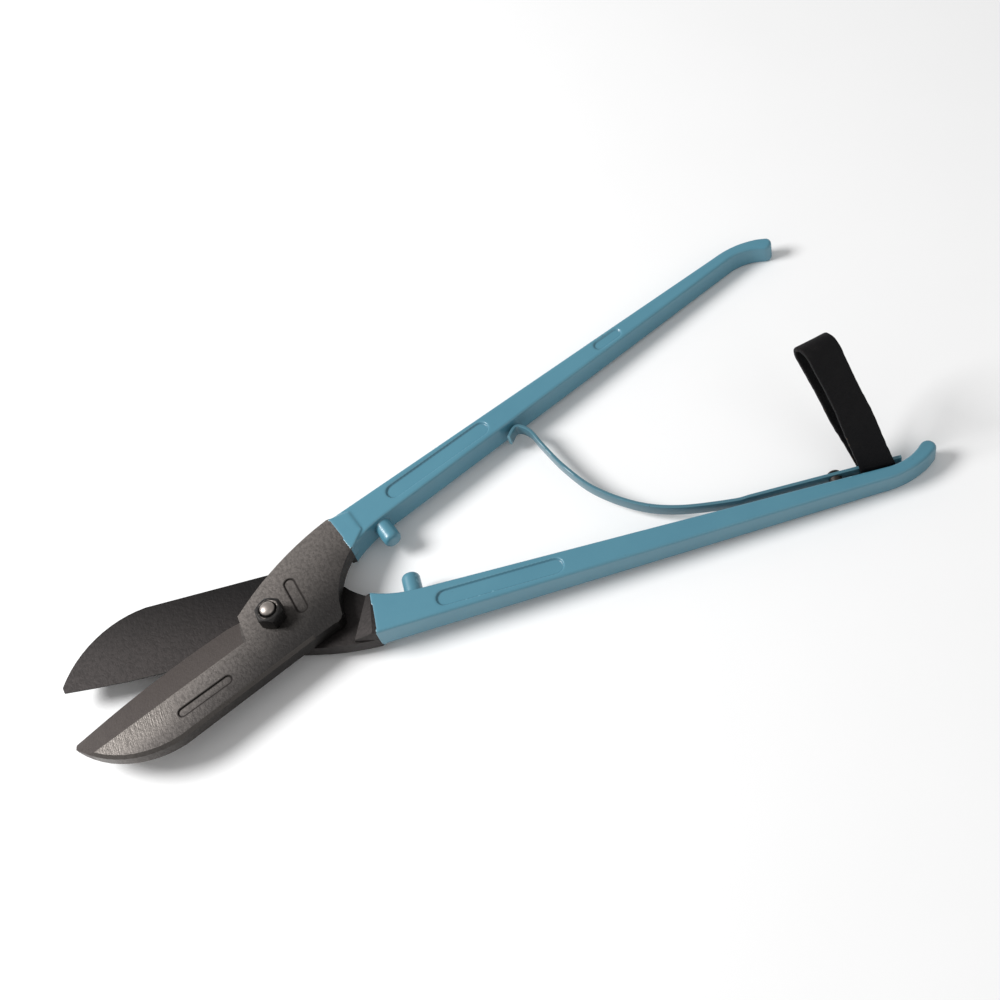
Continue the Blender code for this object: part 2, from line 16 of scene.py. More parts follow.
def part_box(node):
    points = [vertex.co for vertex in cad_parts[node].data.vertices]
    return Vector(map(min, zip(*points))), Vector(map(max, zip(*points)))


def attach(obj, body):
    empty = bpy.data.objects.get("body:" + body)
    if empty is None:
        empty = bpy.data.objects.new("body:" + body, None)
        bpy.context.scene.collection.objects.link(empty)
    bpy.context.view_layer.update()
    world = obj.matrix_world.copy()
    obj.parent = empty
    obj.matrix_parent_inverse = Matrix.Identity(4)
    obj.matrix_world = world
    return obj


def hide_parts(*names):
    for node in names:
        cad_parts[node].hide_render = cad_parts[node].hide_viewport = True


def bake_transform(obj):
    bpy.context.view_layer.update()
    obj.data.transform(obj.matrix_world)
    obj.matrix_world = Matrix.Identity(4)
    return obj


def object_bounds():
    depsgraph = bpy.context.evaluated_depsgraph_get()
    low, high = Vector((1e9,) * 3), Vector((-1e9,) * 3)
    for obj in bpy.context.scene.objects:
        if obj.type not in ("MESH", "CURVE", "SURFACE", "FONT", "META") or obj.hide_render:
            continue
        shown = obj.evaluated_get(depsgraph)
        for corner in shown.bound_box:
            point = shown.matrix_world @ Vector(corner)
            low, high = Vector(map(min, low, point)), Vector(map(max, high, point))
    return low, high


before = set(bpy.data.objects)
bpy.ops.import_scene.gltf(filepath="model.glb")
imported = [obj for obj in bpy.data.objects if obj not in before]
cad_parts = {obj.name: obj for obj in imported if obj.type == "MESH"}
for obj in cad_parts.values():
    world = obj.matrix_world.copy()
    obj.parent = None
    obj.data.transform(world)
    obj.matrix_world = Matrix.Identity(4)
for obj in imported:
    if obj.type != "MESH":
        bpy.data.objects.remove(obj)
cad_low, cad_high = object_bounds()
MM = 0.001
print("CAD box in mm:", [round(v / MM, 1) for v in (*cad_low, *cad_high)])

# %% [markdown]
# The two levers meet on a mid-plane, halfway between the front lever's top and the rear
# lever's underside.  Knowing its height, the same numbers describe both forgings: the rear
# one is the front one turned half a turn about the X axis.  Only the bolt holes differ, because
# the pivot lies a little to one side of that axis.

# %% Heights that everything else is measured from
MID_Z = (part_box("front_lever")[1].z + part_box("rear_lever")[0].z) / 2
PIVOT_AT = Vector((-0.5, -2.6, 0)) * MM
NUT_LOW, NUT_HIGH = (corner.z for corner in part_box("pivot_nut"))
BOLT_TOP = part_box("pivot_bolt")[1].z
print("mid-plane %.2f mm, nut %.2f to %.2f mm, bolt top %.2f mm"
      % tuple(z / MM for z in (MID_Z, NUT_LOW, NUT_HIGH, BOLT_TOP)))

# %% [markdown]
# Shader maths reads best as ordinary arithmetic.  A Wire holds one output socket and turns
# each operator into a Math node, so `1 - mask` and `rust * 0.3 + base` just work.

# %% A socket that can be added and multiplied
class Wire:
    def __init__(self, finish, socket):
        self.finish = finish
        self.socket = socket

    def __add__(self, other):
        return self.finish.maths("ADD", self, other)

    def __sub__(self, other):
        return self.finish.maths("SUBTRACT", self, other)

    def __rsub__(self, other):
        return self.finish.maths("SUBTRACT", other, self)

    def __mul__(self, other):
        return self.finish.maths("MULTIPLY", self, other)

    def __truediv__(self, other):
        return self.finish.maths("DIVIDE", self, other)

    def __pow__(self, other):
        return self.finish.maths("POWER", self, other)

    __radd__ = __add__
    __rmul__ = __mul__


# %% [markdown]
# A Finish is one material under construction.  `make` is the only place where nodes are
# born; the other methods are short names for the few textures that every finish uses.
# Positions are the piece's own coordinates in millimetres, so a grain size is a real size.

# %% One material under construction
class Finish:
    def __init__(self, name, **constants):
        self.material = bpy.data.materials.new(name)
        self.material.use_nodes = True
        self.nodes = self.material.node_tree.nodes
        self.links = self.material.node_tree.links
        self.shader = self.nodes["Principled BSDF"]
        for label, value in constants.items():
            self.shader.inputs[label.replace("_", " ")].default_value = value
        metres = self.make("ShaderNodeTexCoord", out="Object")
        self.spot = self.make("ShaderNodeVectorMath", {"operation": "SCALE"},
                              {0: metres, "Scale": 1 / MM})
        self.x, self.y, self.z = (self.make("ShaderNodeSeparateXYZ", {}, {0: self.spot}, axis)
                                  for axis in "XYZ")

    def make(self, kind, settings=None, sockets=None, out=0):
        node = self.nodes.new(kind)
        for label, value in (settings or {}).items():
            if label == "stops":
                ramp = node.color_ramp.elements
                while len(ramp) < len(value):
                    ramp.new(0.5)
                for element, (place, grey) in zip(ramp, value):
                    element.position = place
                    element.color = (grey, grey, grey, 1)
            else:
                setattr(node, label, value)
        for label, value in (sockets or {}).items():
            if isinstance(value, Wire):
                self.links.new(value.socket, node.inputs[label])
            else:
                node.inputs[label].default_value = value
        return Wire(self, node.outputs[out])

    def maths(self, operation, a, b=0.0, clamp=False):
        return self.make("ShaderNodeMath", {"operation": operation, "use_clamp": clamp}, {0: a, 1: b})

    def grain(self, size, detail=2.0, stretch=(1, 1, 1), shift=0.0):
        """Noise with features about `size` mm across, longer where stretch is small."""
        moved = self.make("ShaderNodeMapping", {}, {"Vector": self.spot, "Scale": stretch,
                                                   "Location": (shift, shift * 0.7, shift * 1.3)})
        return self.make("ShaderNodeTexNoise", {}, {"Vector": moved, "Scale": 1.0 / size,
                                                    "Detail": detail, "Roughness": 0.6})

    def steps(self, value, *stops):
        return self.make("ShaderNodeValToRGB", {"stops": stops}, {0: value})

    def blend(self, share, low, high):
        return self.make("ShaderNodeMix", {"data_type": "RGBA"}, {0: share, 6: low, 7: high}, 2)

    def between(self, value, low, high):
        """0 below low, 1 above high, with a soft step between them."""
        return self.make("ShaderNodeMapRange", {"interpolation_type": "SMOOTHSTEP"},
                         {"Value": value, "From Min": low, "From Max": high})

    def near_line(self, start, end):
        """Signed distance in mm from a line in the levers' plane, positive on its left."""
        run = (Vector(end) - Vector(start)).normalized()
        return self.y * run.x - self.x * run.y - (start[1] * run.x - start[0] * run.y)

    def off_slot(self, start, end, width):
        """Distance in mm from the outline of a round-ended slot in the levers' plane."""
        run = Vector(end) - Vector(start)
        half, middle = run.length / 2, (Vector(start) + Vector(end)) / 2
        run.normalize()
        along = self.maths("ABSOLUTE", self.x * run.x + self.y * run.y - middle.dot(run))
        past = self.maths("MAXIMUM", along - (half - width / 2), 0.0)
        off = self.near_line(start, end)
        return self.maths("ABSOLUTE", (past * past + off * off) ** 0.5 - width / 2)

    def corners(self):
        """Bright where the surface bends outwards and low in hollows: masks worn edges, painted edge
        highlights and painted shade in hollows.
        """
        return self.make("ShaderNodeNewGeometry", out="Pointiness")

    def level(self):
        """1 on faces that look straight up or down, 0 on upright walls."""
        facing = self.make("ShaderNodeTexCoord", out="Normal")
        return self.maths("ABSOLUTE", self.make("ShaderNodeSeparateXYZ", {}, {0: facing}, "Z"))

    def set(self, **wires):
        for label, value in wires.items():
            self.links.new(value.socket, self.shader.inputs[label.replace("_", " ")])

    def relief(self, height, depth_mm):
        bump = self.make("ShaderNodeBump", {}, {"Height": height, "Distance": depth_mm * MM,
                                                "Strength": 1.0})
        self.links.new(bump.socket, self.shader.inputs["Normal"])
        return self.material


def rgb(red, green, blue):
    """A colour as seen on a screen (0 to 255), as the shader wants it."""
    return tuple((c / 255 / 12.92) if c < 10 else ((c / 255 + 0.055) / 1.055) ** 2.4
                 for c in (red, green, blue)) + (1.0,)


# %% [markdown]
# ## Light, camera and table
# The shear lies on a white table with its nut up.  It rests on the bolt's head and on the
# ends of the handles, so it tilts by a little over a degree.  The CAD frame stays level, so
# the table is tilted instead.

# %% The table
REST_HEAD = Vector((0.0055, 0, 0))
REST_ENDS = Vector((0.2500, 0, 0.0058))
table_mesh = bpy.data.meshes.new("table")
slope = (REST_ENDS.z - REST_HEAD.z) / (REST_ENDS.x - REST_HEAD.x)
corners = [(x, y, slope * (x - REST_HEAD.x) - 0.0001) for x, y in ((-6, -6), (6, -6), (6, 6), (-6, 6))]
table_mesh.from_pydata(corners, [], [(0, 1, 2, 3)])
table = bpy.data.objects.new("table", table_mesh)
bpy.context.scene.collection.objects.link(table)
paper = Finish("white_table", Roughness=0.9)
paper.set(Base_Color=paper.blend(paper.grain(60.0), (0.90, 0.90, 0.90, 1), (0.92, 0.92, 0.92, 1)))
table_mesh.materials.append(paper.material)
print("table slope %.2f degrees" % math.degrees(math.atan(slope)))

# %% [markdown]
# The camera looks down from the handles' open side, rolled by about 21 degrees so that the
# shear runs from the lower left to the right.  Its three axes are written out because a
# rolled camera has no neat pair of angles.

# %% The camera
CAMERA_AT = Vector((0.07217, -0.31281, 0.45844 + MID_Z))
CAMERA_RIGHT = Vector((0.8980, -0.3874, -0.2087)).normalized()
CAMERA_BACK = Vector((-0.0545, -0.5686, 0.8208)).normalized()
camera_data = bpy.data.cameras.new("camera")
camera_data.lens = 48.70
camera_data.sensor_width = 36.0
camera = bpy.data.objects.new("camera", camera_data)
bpy.context.scene.collection.objects.link(camera)
camera_up = CAMERA_BACK.cross(CAMERA_RIGHT).normalized()
turn = Matrix((CAMERA_RIGHT, camera_up, CAMERA_BACK)).transposed().to_4x4()
camera.matrix_world = Matrix.Translation(CAMERA_AT) @ turn
bpy.context.scene.camera = camera
print("camera stands %.0f mm from the pivot" % (CAMERA_AT.length / MM))

# %% [markdown]
# Soft studio light: an even pale surround, one soft box high beyond the blades and a weak one
# in front.  The soft box stays clear of the direction that the flat steel mirrors to the
# camera, so the blades stay dark and the handles' near sides fall into half shade.

# %% The lights
world = bpy.data.worlds.new("studio")
bpy.context.scene.world = world
world.use_nodes = True
world.node_tree.nodes["Background"].inputs["Color"].default_value = (1, 1, 1, 1)
world.node_tree.nodes["Background"].inputs["Strength"].default_value = 0.42
bpy.context.scene.view_settings.view_transform = "Standard"


def soft_box(name, place, aim, size, power):
    lamp = bpy.data.lights.new(name, "AREA")
    lamp.shape = "DISK"
    lamp.size = size
    lamp.energy = power
    lamp_object = bpy.data.objects.new(name, lamp)
    lamp_object.location = place
    lamp_object.rotation_euler = (Vector(aim) - Vector(place)).to_track_quat("-Z", "Y").to_euler()
    bpy.context.scene.collection.objects.link(lamp_object)


soft_box("key_light", (-0.80, 0.40, 0.90), (0.08, 0, 0), 0.6, 19)
soft_box("fill_light", (0.5, -0.9, 0.9), (0.08, 0, 0), 0.8, 1.5)

# %% [markdown]
# ## Finishes
# ** Enamel.** The handles were dipped in pale blue enamel. The film is glossy but not flat:
# it has the fine orange peel of stoving enamel and a few small dark chips.  Its hollows carry
# painted shade in a deeper blue, and its corners are painted paler, partly rubbed wear and partly a
# painted highlight.

# %% Blue enamel
def enamel(name, tone=1.0, shift=0.0):
    paint = Finish(name, Coat_Roughness=0.18, IOR=1.5)
    broad = paint.grain(26.0, 3.0, shift=shift)
    fine = paint.grain(1.6, 3.0, shift=shift)
    base = paint.blend(broad, rgb(72 * tone, 127 * tone, 147 * tone),
                       rgb(84 * tone, 139 * tone, 157 * tone))
    # Paler corners: partly rubbed wear, partly a painted highlight along the rounded edges.
    edge = paint.between(paint.corners(), 0.515, 0.56)
    rubbed = paint.blend(edge * 0.45, base, rgb(132, 182, 196))
    # Painted shade: concave hollows are darkened towards a deeper blue.
    hollow_shade = paint.between(paint.corners(), 0.492, 0.46)
    shaded_hollows = paint.blend(hollow_shade * 0.55, rubbed, rgb(38, 82, 102))
    chip = paint.between(paint.grain(1.3, 2.0, shift=shift + 5) * 0.8 + paint.corners() * 0.9, 1.075, 1.09)
    paint.set(Base_Color=paint.blend(chip, shaded_hollows, rgb(48, 46, 46)),
              Roughness=fine * 0.12 + 0.30 + chip * 0.2,
              Coat_Weight=0.35 - chip * 0.35)
    return paint.relief(fine * 0.7 + broad * 2.0 - chip * 1.2, 0.05)


handle_enamel = enamel("handle_enamel")
rear_handle_enamel = enamel("rear_handle_enamel", 0.98, 40.0)
leaf_enamel = enamel("leaf_enamel", 0.80, 90.0)
print("enamels made")

# %% [markdown]
# ** Bare forged steel.** The head keeps the grey skin of the forge, fine-pitted and slightly
# mottled, and carries a painted reflection: a broad gradient from dark to light across head and blade.
# Where the stone has been (the slope down to the cutting edge, and a patch rubbed bright near the point)
# the metal is lighter and carries grinding lines that run across the blade.  The lines are noise stretched
# along one direction.  Round the sunk panels the steel is darkened with painted shade.
# Only a blade's outer face is ground: its inner face slides on the other blade.

# %% Ground and forged steel
RIDGE = ((-78.3, -21.7), (-15.9, -7.6))     # top of the ground slope, mm, front blade
# sunk panels of the blade and the head: two ends and a width
SLOTS = (((-48.5, -24.6), (-24.4, -19.4), 3.8), ((9.9, 11.2), (11.8, -6.4), 4.6))


def blade_steel(name, dark, light, ground, polished, side=1.0, shift=0.0):
    steel = Finish(name, IOR=2.0)
    steel.y = steel.y * side
    outside = steel.between((steel.z - MID_Z / MM) * side, 0.3, 0.5)
    mottle = steel.grain(7.0, 4.0, shift=shift)
    pits = steel.grain(0.55, 3.0, shift=shift)
    across = steel.grain(1.5, 2.0, stretch=(3.0, 0.22, 1.0), shift=shift)
    # Painted reflection: a broad gradient from the dark to the light colour across head and blade, under
    # the skin's mottle and grit.
    painted_sheen = steel.between(steel.near_line((-60.0, -42.0), (30.0, 2.0)) + mottle * 8.0, -6.0, 34.0)
    grit = steel.between(steel.grain(1.5, 4.0, shift=shift + 9.0), 0.38, 0.66)
    skin_and_sheen = steel.blend(grit * 0.32, steel.blend(painted_sheen, dark, light), rgb(24, 22, 21))
    past_ridge = steel.between(steel.near_line(*RIDGE), -0.15, 0.15)
    on_slope = past_ridge * steel.between(steel.x, -15.2, -15.6) * outside
    sloped = steel.blend(on_slope, skin_and_sheen, ground)
    rub_x = steel.between(steel.x, -44.0, -58.0)
    rub_y = steel.between(steel.near_line(*RIDGE), -13.5, -5.0)
    rubbed = rub_x * rub_y * (1 - on_slope) * (0.55 + across * 0.7) * outside
    bright = steel.blend(rubbed, sloped, polished)
    ridge = steel.between(steel.maths("ABSOLUTE", steel.near_line(*RIDGE)), 0.45, 0.05)
    on_blade = steel.between(steel.x, -16.0, -19.0) * steel.between(steel.x, -80.0, -77.0) * outside
    lined = steel.blend(ridge * on_blade * 0.6, bright, polished)
    level = steel.level()
    edge = steel.between(level, 0.2, 0.4) * steel.between(level, 0.9, 0.75)
    worn = steel.blend(edge * 0.4, lined, polished)
    spot = steel.between(pits * 0.7 + mottle * 0.45, 0.66, 0.74)
    # Painted shade along the outlines of the sunk panels, darker close to them.
    panel_shade_distance = steel.maths("MINIMUM", *(steel.off_slot(*slot) for slot in SLOTS))
    spot = steel.maths("MAXIMUM", spot, steel.between(panel_shade_distance, 0.75, 0.1) * outside * 2.2)
    lines = across * (0.25 + on_slope * 0.35 + rubbed * 0.9)
    steel.set(Base_Color=steel.blend(spot * 0.35, worn, rgb(40, 36, 34)),
              Roughness=0.44 + pits * 0.14 + spot * 0.15 - rubbed * 0.12)
    steel.shader.inputs["Metallic"].default_value = 0.9
    return steel.relief(lines * 1.1 + pits * 0.5 + mottle * 0.5 - grit * 0.5, 0.06)


front_steel = blade_steel("front_blade_steel", rgb(39, 37, 36), rgb(122, 116, 112), rgb(92, 85, 82),
                          rgb(104, 99, 95))
# The rear blade's colours are a darker copy of the front blade's: partly darker oxide, partly painted
# shade.
rear_steel = blade_steel("rear_blade_steel", rgb(19, 17, 17), rgb(54, 50, 49), rgb(42, 39, 38),
                         rgb(74, 70, 68), -1.0, 33.0)
print("blade steels made")


# %% [markdown]
# **Black oxide.**  The nut, the bolt and the rivets are blackened steel.  The black wears to
# bright metal where spanners and thumbs touch it, most of all on the bolt's domed end.

# %% Black oxide with worn corners
def black_oxide(name, worn, bright_above=None, shift=0.0):
    oxide = Finish(name)
    oxide.shader.inputs["Metallic"].default_value = 0.85
    fine = oxide.grain(0.5, 3.0, shift=shift)
    cloud = oxide.grain(3.0, 3.0, shift=shift)
    rub = oxide.between(oxide.corners() + fine * 0.06, 0.56, 0.66) * worn
    if bright_above is not None:
        cap = oxide.between(oxide.z + fine * 0.5, bright_above / MM, bright_above / MM + 0.7)
        rub = oxide.maths("MAXIMUM", rub, cap)
    tone = oxide.blend(cloud, rgb(34, 33, 33), rgb(58, 56, 55))
    oxide.set(Base_Color=oxide.blend(rub, tone, rgb(158, 150, 144)),
              Roughness=0.42 + fine * 0.18 - rub * 0.1)
    return oxide.relief(fine + cloud * 0.6, 0.03)


nut_black = black_oxide("nut_black", 0.55)
bolt_black = black_oxide("bolt_black", 0.5, BOLT_TOP - 1.2 * MM, 11.0)
rivet_black = black_oxide("rivet_black", 0.25, shift=21.0)
print("black finishes made")

# %% [markdown]
# ** Leather.** The loop is black waxed strap leather: a pebbled grain side, creases where it
# bends, and brown cut edges, partly browner fibres that take no wax and so are dull, partly a painted
# highlight.

# %% Strap leather
def strap_leather(name):
    hide = Finish(name, Specular_IOR_Level=0.18)
    pebble = hide.make("ShaderNodeTexVoronoi", {"feature": "DISTANCE_TO_EDGE"},
                       {"Vector": hide.spot, "Scale": 1.5}, "Distance")
    creases = hide.grain(2.6, 4.0, stretch=(1.0, 1.0, 0.45))
    cloud = hide.grain(9.0, 3.0)
    fibre = hide.grain(0.35, 2.0)
    # Cut edges painted brown: partly their unwaxed fibres, partly a painted highlight along the edge.
    edge = hide.between(hide.corners() + fibre * 0.05, 0.545, 0.62)
    scuff = hide.between(cloud * 0.7 + fibre * 0.45, 0.62, 0.78)
    base = hide.blend(cloud, rgb(7, 6, 8), rgb(15, 14, 16))
    rubbed = hide.blend(scuff * 0.5, base, rgb(30, 27, 26))
    hide.set(Base_Color=hide.blend(edge * 0.6, rubbed, rgb(88, 70, 56)),
             Roughness=0.52 + fibre * 0.2 + edge * 0.1)
    return hide.relief(hide.between(pebble, 0.0, 0.12) * 0.8 + creases * 1.8 + fibre * 0.5, 0.12)


leather = strap_leather("strap_leather")
print("leather made")


# %% [markdown]
# ## Making and placing pieces
# Three helpers do the housekeeping: one turns a bmesh into an object, one bakes an object's
# modifiers into a plain mesh, and one holds a piece inside the CAD box, hands it to its body
# and hides the CAD solid that it stands for.

# %% Housekeeping
def piece_from(work, name, material, smooth_deg=40.0):
    mesh = bpy.data.meshes.new(name)
    work.to_mesh(mesh)
    work.free()
    mesh.materials.append(material)
    mesh.shade_smooth()
    mesh.set_sharp_from_angle(angle=math.radians(smooth_deg))
    made = bpy.data.objects.new(name, mesh)
    bpy.context.scene.collection.objects.link(made)
    return made


def bake(made):
    bpy.context.view_layer.update()
    graph = bpy.context.evaluated_depsgraph_get()
    mesh = bpy.data.meshes.new_from_object(made.evaluated_get(graph))
    made.modifiers.clear()
    made.data = mesh
    return made


def stand_for(made, slot, *nodes):
    """Hold a piece inside the CAD box and let it stand for its CAD solids."""
    for vert in made.data.vertices:
        vert.co = [min(max(v, low), high) for v, low, high in zip(vert.co, cad_low, cad_high)]
    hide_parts(*nodes)
    print("%-22s %7d faces" % (made.name, len(made.data.polygons)))


def place(made, body, slot, *nodes):
    """A rigid piece: it stands for its solids and rides on one body."""
    stand_for(made, slot, *nodes)
    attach(made, body)
    return made


# %% [markdown]
# ## The levers
# Each lever is one forging, but it shows two surfaces: crisp ground steel, and a thick soft
# coat of enamel over forged corners.  So the CAD solid is cut at the paint line.  The
# steel half keeps its flat faces and gets narrow bevelled edges.  The enamelled half is
# remeshed into small even cells and smoothed, which rounds every corner and fills every
# angle the way a forging die does, and then grows by the thickness of the paint.

# %% Cut a lever at its paint line
INNER_Y, INNER_SLOPE = 6.2, 0.2397
PAINT_AT = Vector((36.7, 21.45, 0)) * MM
PAINT_ALONG = Vector((0.9782, 0.2077, 0))


def lever_half(node, side, towards_handle, overlap):
    """Half of a lever's solid: side is 1 for the front lever and -1 for the rear one."""
    work = bmesh.new()
    work.from_mesh(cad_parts[node].data)
    bmesh.ops.remove_doubles(work, verts=work.verts, dist=0.002 * MM)
    bmesh.ops.dissolve_limit(work, angle_limit=math.radians(0.6), verts=work.verts, edges=work.edges)
    along = Vector((PAINT_ALONG.x, side * PAINT_ALONG.y, 0))
    at = Vector((PAINT_AT.x, side * PAINT_AT.y, 0)) - along * overlap
    cut = bmesh.ops.bisect_plane(work, geom=work.verts[:] + work.edges[:] + work.faces[:], dist=1e-7,
                                 plane_co=at, plane_no=along * (1 if towards_handle else -1),
                                 clear_inner=True)
    rim = [item for item in cut["geom_cut"] if isinstance(item, bmesh.types.BMEdge)]
    bmesh.ops.holes_fill(work, edges=rim)
    bmesh.ops.recalc_face_normals(work, faces=work.faces)
    return work


# %% The bare steel halves
GROUND_EDGE = 0.22 * MM


def steel_half(name, node, side, material, body, slot):
    made = piece_from(lever_half(node, side, False, -0.8 * MM), name, material, 9)
    soften = made.modifiers.new("ground edges", "BEVEL")
    soften.width = GROUND_EDGE
    soften.segments = 2
    soften.angle_limit = math.radians(24)
    soften.use_clamp_overlap = True
    bake(made)
    for face in made.data.polygons:
        if face.area > 0.5 * MM * MM and abs(face.normal.z) > 0.5:
            face.use_smooth = False
    return place(made, body, slot, node)


steel_half("front_blade", "front_lever", 1, front_steel, "front_half", "blue_enamel")
steel_half("rear_blade", "rear_lever", -1, rear_steel, "rear_half", "rear_enamel")

# %% The enamelled halves
PAINT_FILM = 0.10 * MM
CELL = 0.36 * MM
END_FROM, END_FULL = 249.0, 6.0             # the handle's end is rounded from here, over this length
LUG_X, LUG_REACH, LUG_TIP = 56.0, 9.0, 16.0
NECK_TO = 56.0                              # the shoulder fades out before this


def roundness(x, y):
    """How much more than the rest of the handle a spot is rounded, from 0 to 1."""
    if x < NECK_TO and 8.2 + INNER_SLOPE * x < y < 22.4 + 0.186 * x:
        return 1.0
    if abs(x - LUG_X) < LUG_REACH and y < LUG_TIP:
        return min((LUG_TIP - y) / 3.0, 1.0)
    return min(max((x - END_FROM) / END_FULL, 0.0), 1.0)


def enamelled_half(name, node, side, material, body, slot):
    made = piece_from(lever_half(node, side, True, 0.4 * MM), name, material, 180)
    cells = made.modifiers.new("even cells", "REMESH")
    cells.mode = "VOXEL"
    cells.voxel_size = CELL
    forge = made.modifiers.new("forged corners", "SMOOTH")
    forge.factor = 0.5
    forge.iterations = 3
    made = bake(made)
    worn = made.vertex_groups.new(name="rounder")
    for vert in made.data.vertices:
        share = roundness(vert.co.x / MM, vert.co.y / MM * side)
        if share > 0:
            worn.add([vert.index], share, "REPLACE")
    ends = made.modifiers.new("rounder ends", "SMOOTH")
    ends.factor = 0.5
    ends.iterations = 24
    ends.vertex_group = "rounder"
    film = made.modifiers.new("paint film", "DISPLACE")
    film.strength = PAINT_FILM
    film.mid_level = 0.0
    made = bake(made)
    made.data.materials.clear()
    made.data.materials.append(material)
    made.data.shade_smooth()
    return place(made, body, slot, node)


enamelled_half("front_handle", "front_lever", 1, handle_enamel, "front_half", "blue_enamel")
enamelled_half("rear_handle", "rear_lever", -1, rear_handle_enamel, "rear_half", "rear_enamel")


# %% [markdown]
# ## Pivot
# The nut is a hexagon whose top and bottom corners are turned off in a lathe, so each flat
# ends in a curved line.  A Boolean does what the lathe does: the hexagon is intersected with
# a turned blank.  The bolt's end is worn to a dome, with the last threads below it.

# %% Turned and hexagonal blanks
def turned(profile, steps=48):
    """Solid of revolution about Z from (radius, height) in mm, running down the outer side."""
    work = bmesh.new()
    line = [work.verts.new((r * MM, 0, z * MM)) for r, z in profile]
    edges = [work.edges.new(pair) for pair in zip(line, line[1:])]
    bmesh.ops.spin(work, geom=line + edges, cent=(0, 0, 0), axis=(0, 0, 1), angle=math.tau,
                   steps=steps, use_merge=True)
    bmesh.ops.remove_doubles(work, verts=work.verts, dist=1e-7)
    bmesh.ops.recalc_face_normals(work, faces=work.faces)
    return work


def hexagon(flats, low, high, turn_deg=0.0):
    work = bmesh.new()
    bmesh.ops.create_cone(work, cap_ends=True, segments=6, radius1=flats / 2 / math.cos(math.pi / 6) * MM,
                          radius2=flats / 2 / math.cos(math.pi / 6) * MM, depth=(high - low) * MM)
    bmesh.ops.translate(work, vec=(0, 0, (low + high) / 2 * MM), verts=work.verts)
    bmesh.ops.rotate(work, verts=work.verts, matrix=Matrix.Rotation(math.radians(turn_deg), 3, "Z"))
    return work


def combine(target, tool, operation):
    """Boolean the tool's bmesh into the target object and forget the tool."""
    helper = piece_from(tool, "tool", target.data.materials[0])
    cut = target.modifiers.new("cut", "BOOLEAN")
    cut.operation = operation
    cut.solver = "EXACT"
    cut.object = helper
    bake(target)
    bpy.data.objects.remove(helper, do_unlink=True)
    return target


def crisp(target, width_mm, smooth_deg=30.0):
    work = bmesh.new()
    work.from_mesh(target.data)
    bmesh.ops.dissolve_limit(work, angle_limit=math.radians(0.5), verts=work.verts, edges=work.edges)
    work.to_mesh(target.data)
    work.free()
    soften = target.modifiers.new("edges", "BEVEL")
    soften.width = width_mm * MM
    soften.segments = 2
    soften.angle_limit = math.radians(22)
    bake(target)
    target.data.shade_smooth()
    target.data.set_sharp_from_angle(angle=math.radians(smooth_deg))
    return target


# %% The nut
NUT_FLATS = 10.6
low, high = NUT_LOW / MM, NUT_HIGH / MM
across = NUT_FLATS / 2 / math.cos(math.pi / 6)
nut = piece_from(hexagon(NUT_FLATS, low, high), "pivot_nut_turned", nut_black)
combine(nut, turned([(0, high), (NUT_FLATS / 2 - 0.45, high), (across + 0.05, high - 0.95),
                     (across + 0.05, low + 0.55), (NUT_FLATS / 2 - 0.2, low), (0, low)]), "INTERSECT")
combine(nut, turned([(0, high + 1), (5, high + 1), (3.9, high), (3.42, high - 0.5), (3.42, low + 0.4),
                     (3.8, low), (3.8, low - 1), (0, low - 1)]), "DIFFERENCE")
crisp(nut, 0.12)
nut.data.transform(Matrix.Translation(PIVOT_AT))
place(nut, "rear_half", "nut_steel", "pivot_nut")

# %% The bolt
top = BOLT_TOP / MM
shank = 3.25
dome = [(shank * math.sin(a), top - 1.75 + 1.75 * math.cos(a)) for a in
        (math.radians(d) for d in range(0, 81, 10))]
threads = []
z = top - 1.9
while z > high - 1.6:
    threads += [(shank - 0.02, z), (shank - 0.32, z - 0.4)]
    z -= 0.8
bolt = piece_from(turned(dome + threads + [(shank - 0.3, z), (shank - 0.05, z - 0.5), (shank - 0.05, 1.5),
                                           (0, 1.5)]), "pivot_bolt_turned", bolt_black)
head = piece_from(hexagon(11.0, 0.0, 4.2), "bolt_head_blank", bolt_black)
combine(head, turned([(0, 4.2), (6.4, 4.2), (6.4, 0.7), (5.1, 0.0), (0, 0)]), "INTERSECT")
crisp(head, 0.15)
both = bmesh.new()
both.from_mesh(bolt.data)
both.from_mesh(head.data)
bmesh.ops.translate(both, vec=PIVOT_AT, verts=both.verts)
both.to_mesh(bolt.data)
both.free()
bpy.data.objects.remove(head, do_unlink=True)
bolt.data.shade_smooth()
bolt.data.set_sharp_from_angle(angle=math.radians(32))
place(bolt, "rear_half", "black_steel", "pivot_bolt")

# %% [markdown]
# ## Return spring
# A flat strip of spring steel, enamelled with the handles.  It leaves its rivets parallel to
# the rear handle, bends up and ends in a small hook that slides under the front handle.  A
# Geometry Nodes tree sweeps a rounded rectangle along the strip's middle line: width,
# thickness and corner radius are inputs.

# %% The strip's middle line
TILT = math.atan(INNER_SLOPE)
LEAF_OFF, LEAF_WIDTH, LEAF_THICK = 4.2, 5.6, 1.4


def off_handle(x, off):
    """A point off mm clear of the rear handle's inner face, at x mm from the pivot."""
    return Vector((x + off * math.sin(TILT), -(INNER_Y + INNER_SLOPE * x) + off * math.cos(TILT), 0))


leaf_points = [off_handle(x, LEAF_OFF) for x in (247.6, 233, 217, 203, 190)] + [
    off_handle(182, LEAF_OFF + 0.1)] + [Vector((x, y, 0)) for x, y in (
        (163.8, -37.4), (150.2, -27.2), (138.6, -11.6), (132.4, 4.6), (129.0, 20.0),
        (127.4, 28.8), (123.2, 33.8), (118.2, 30.2))]


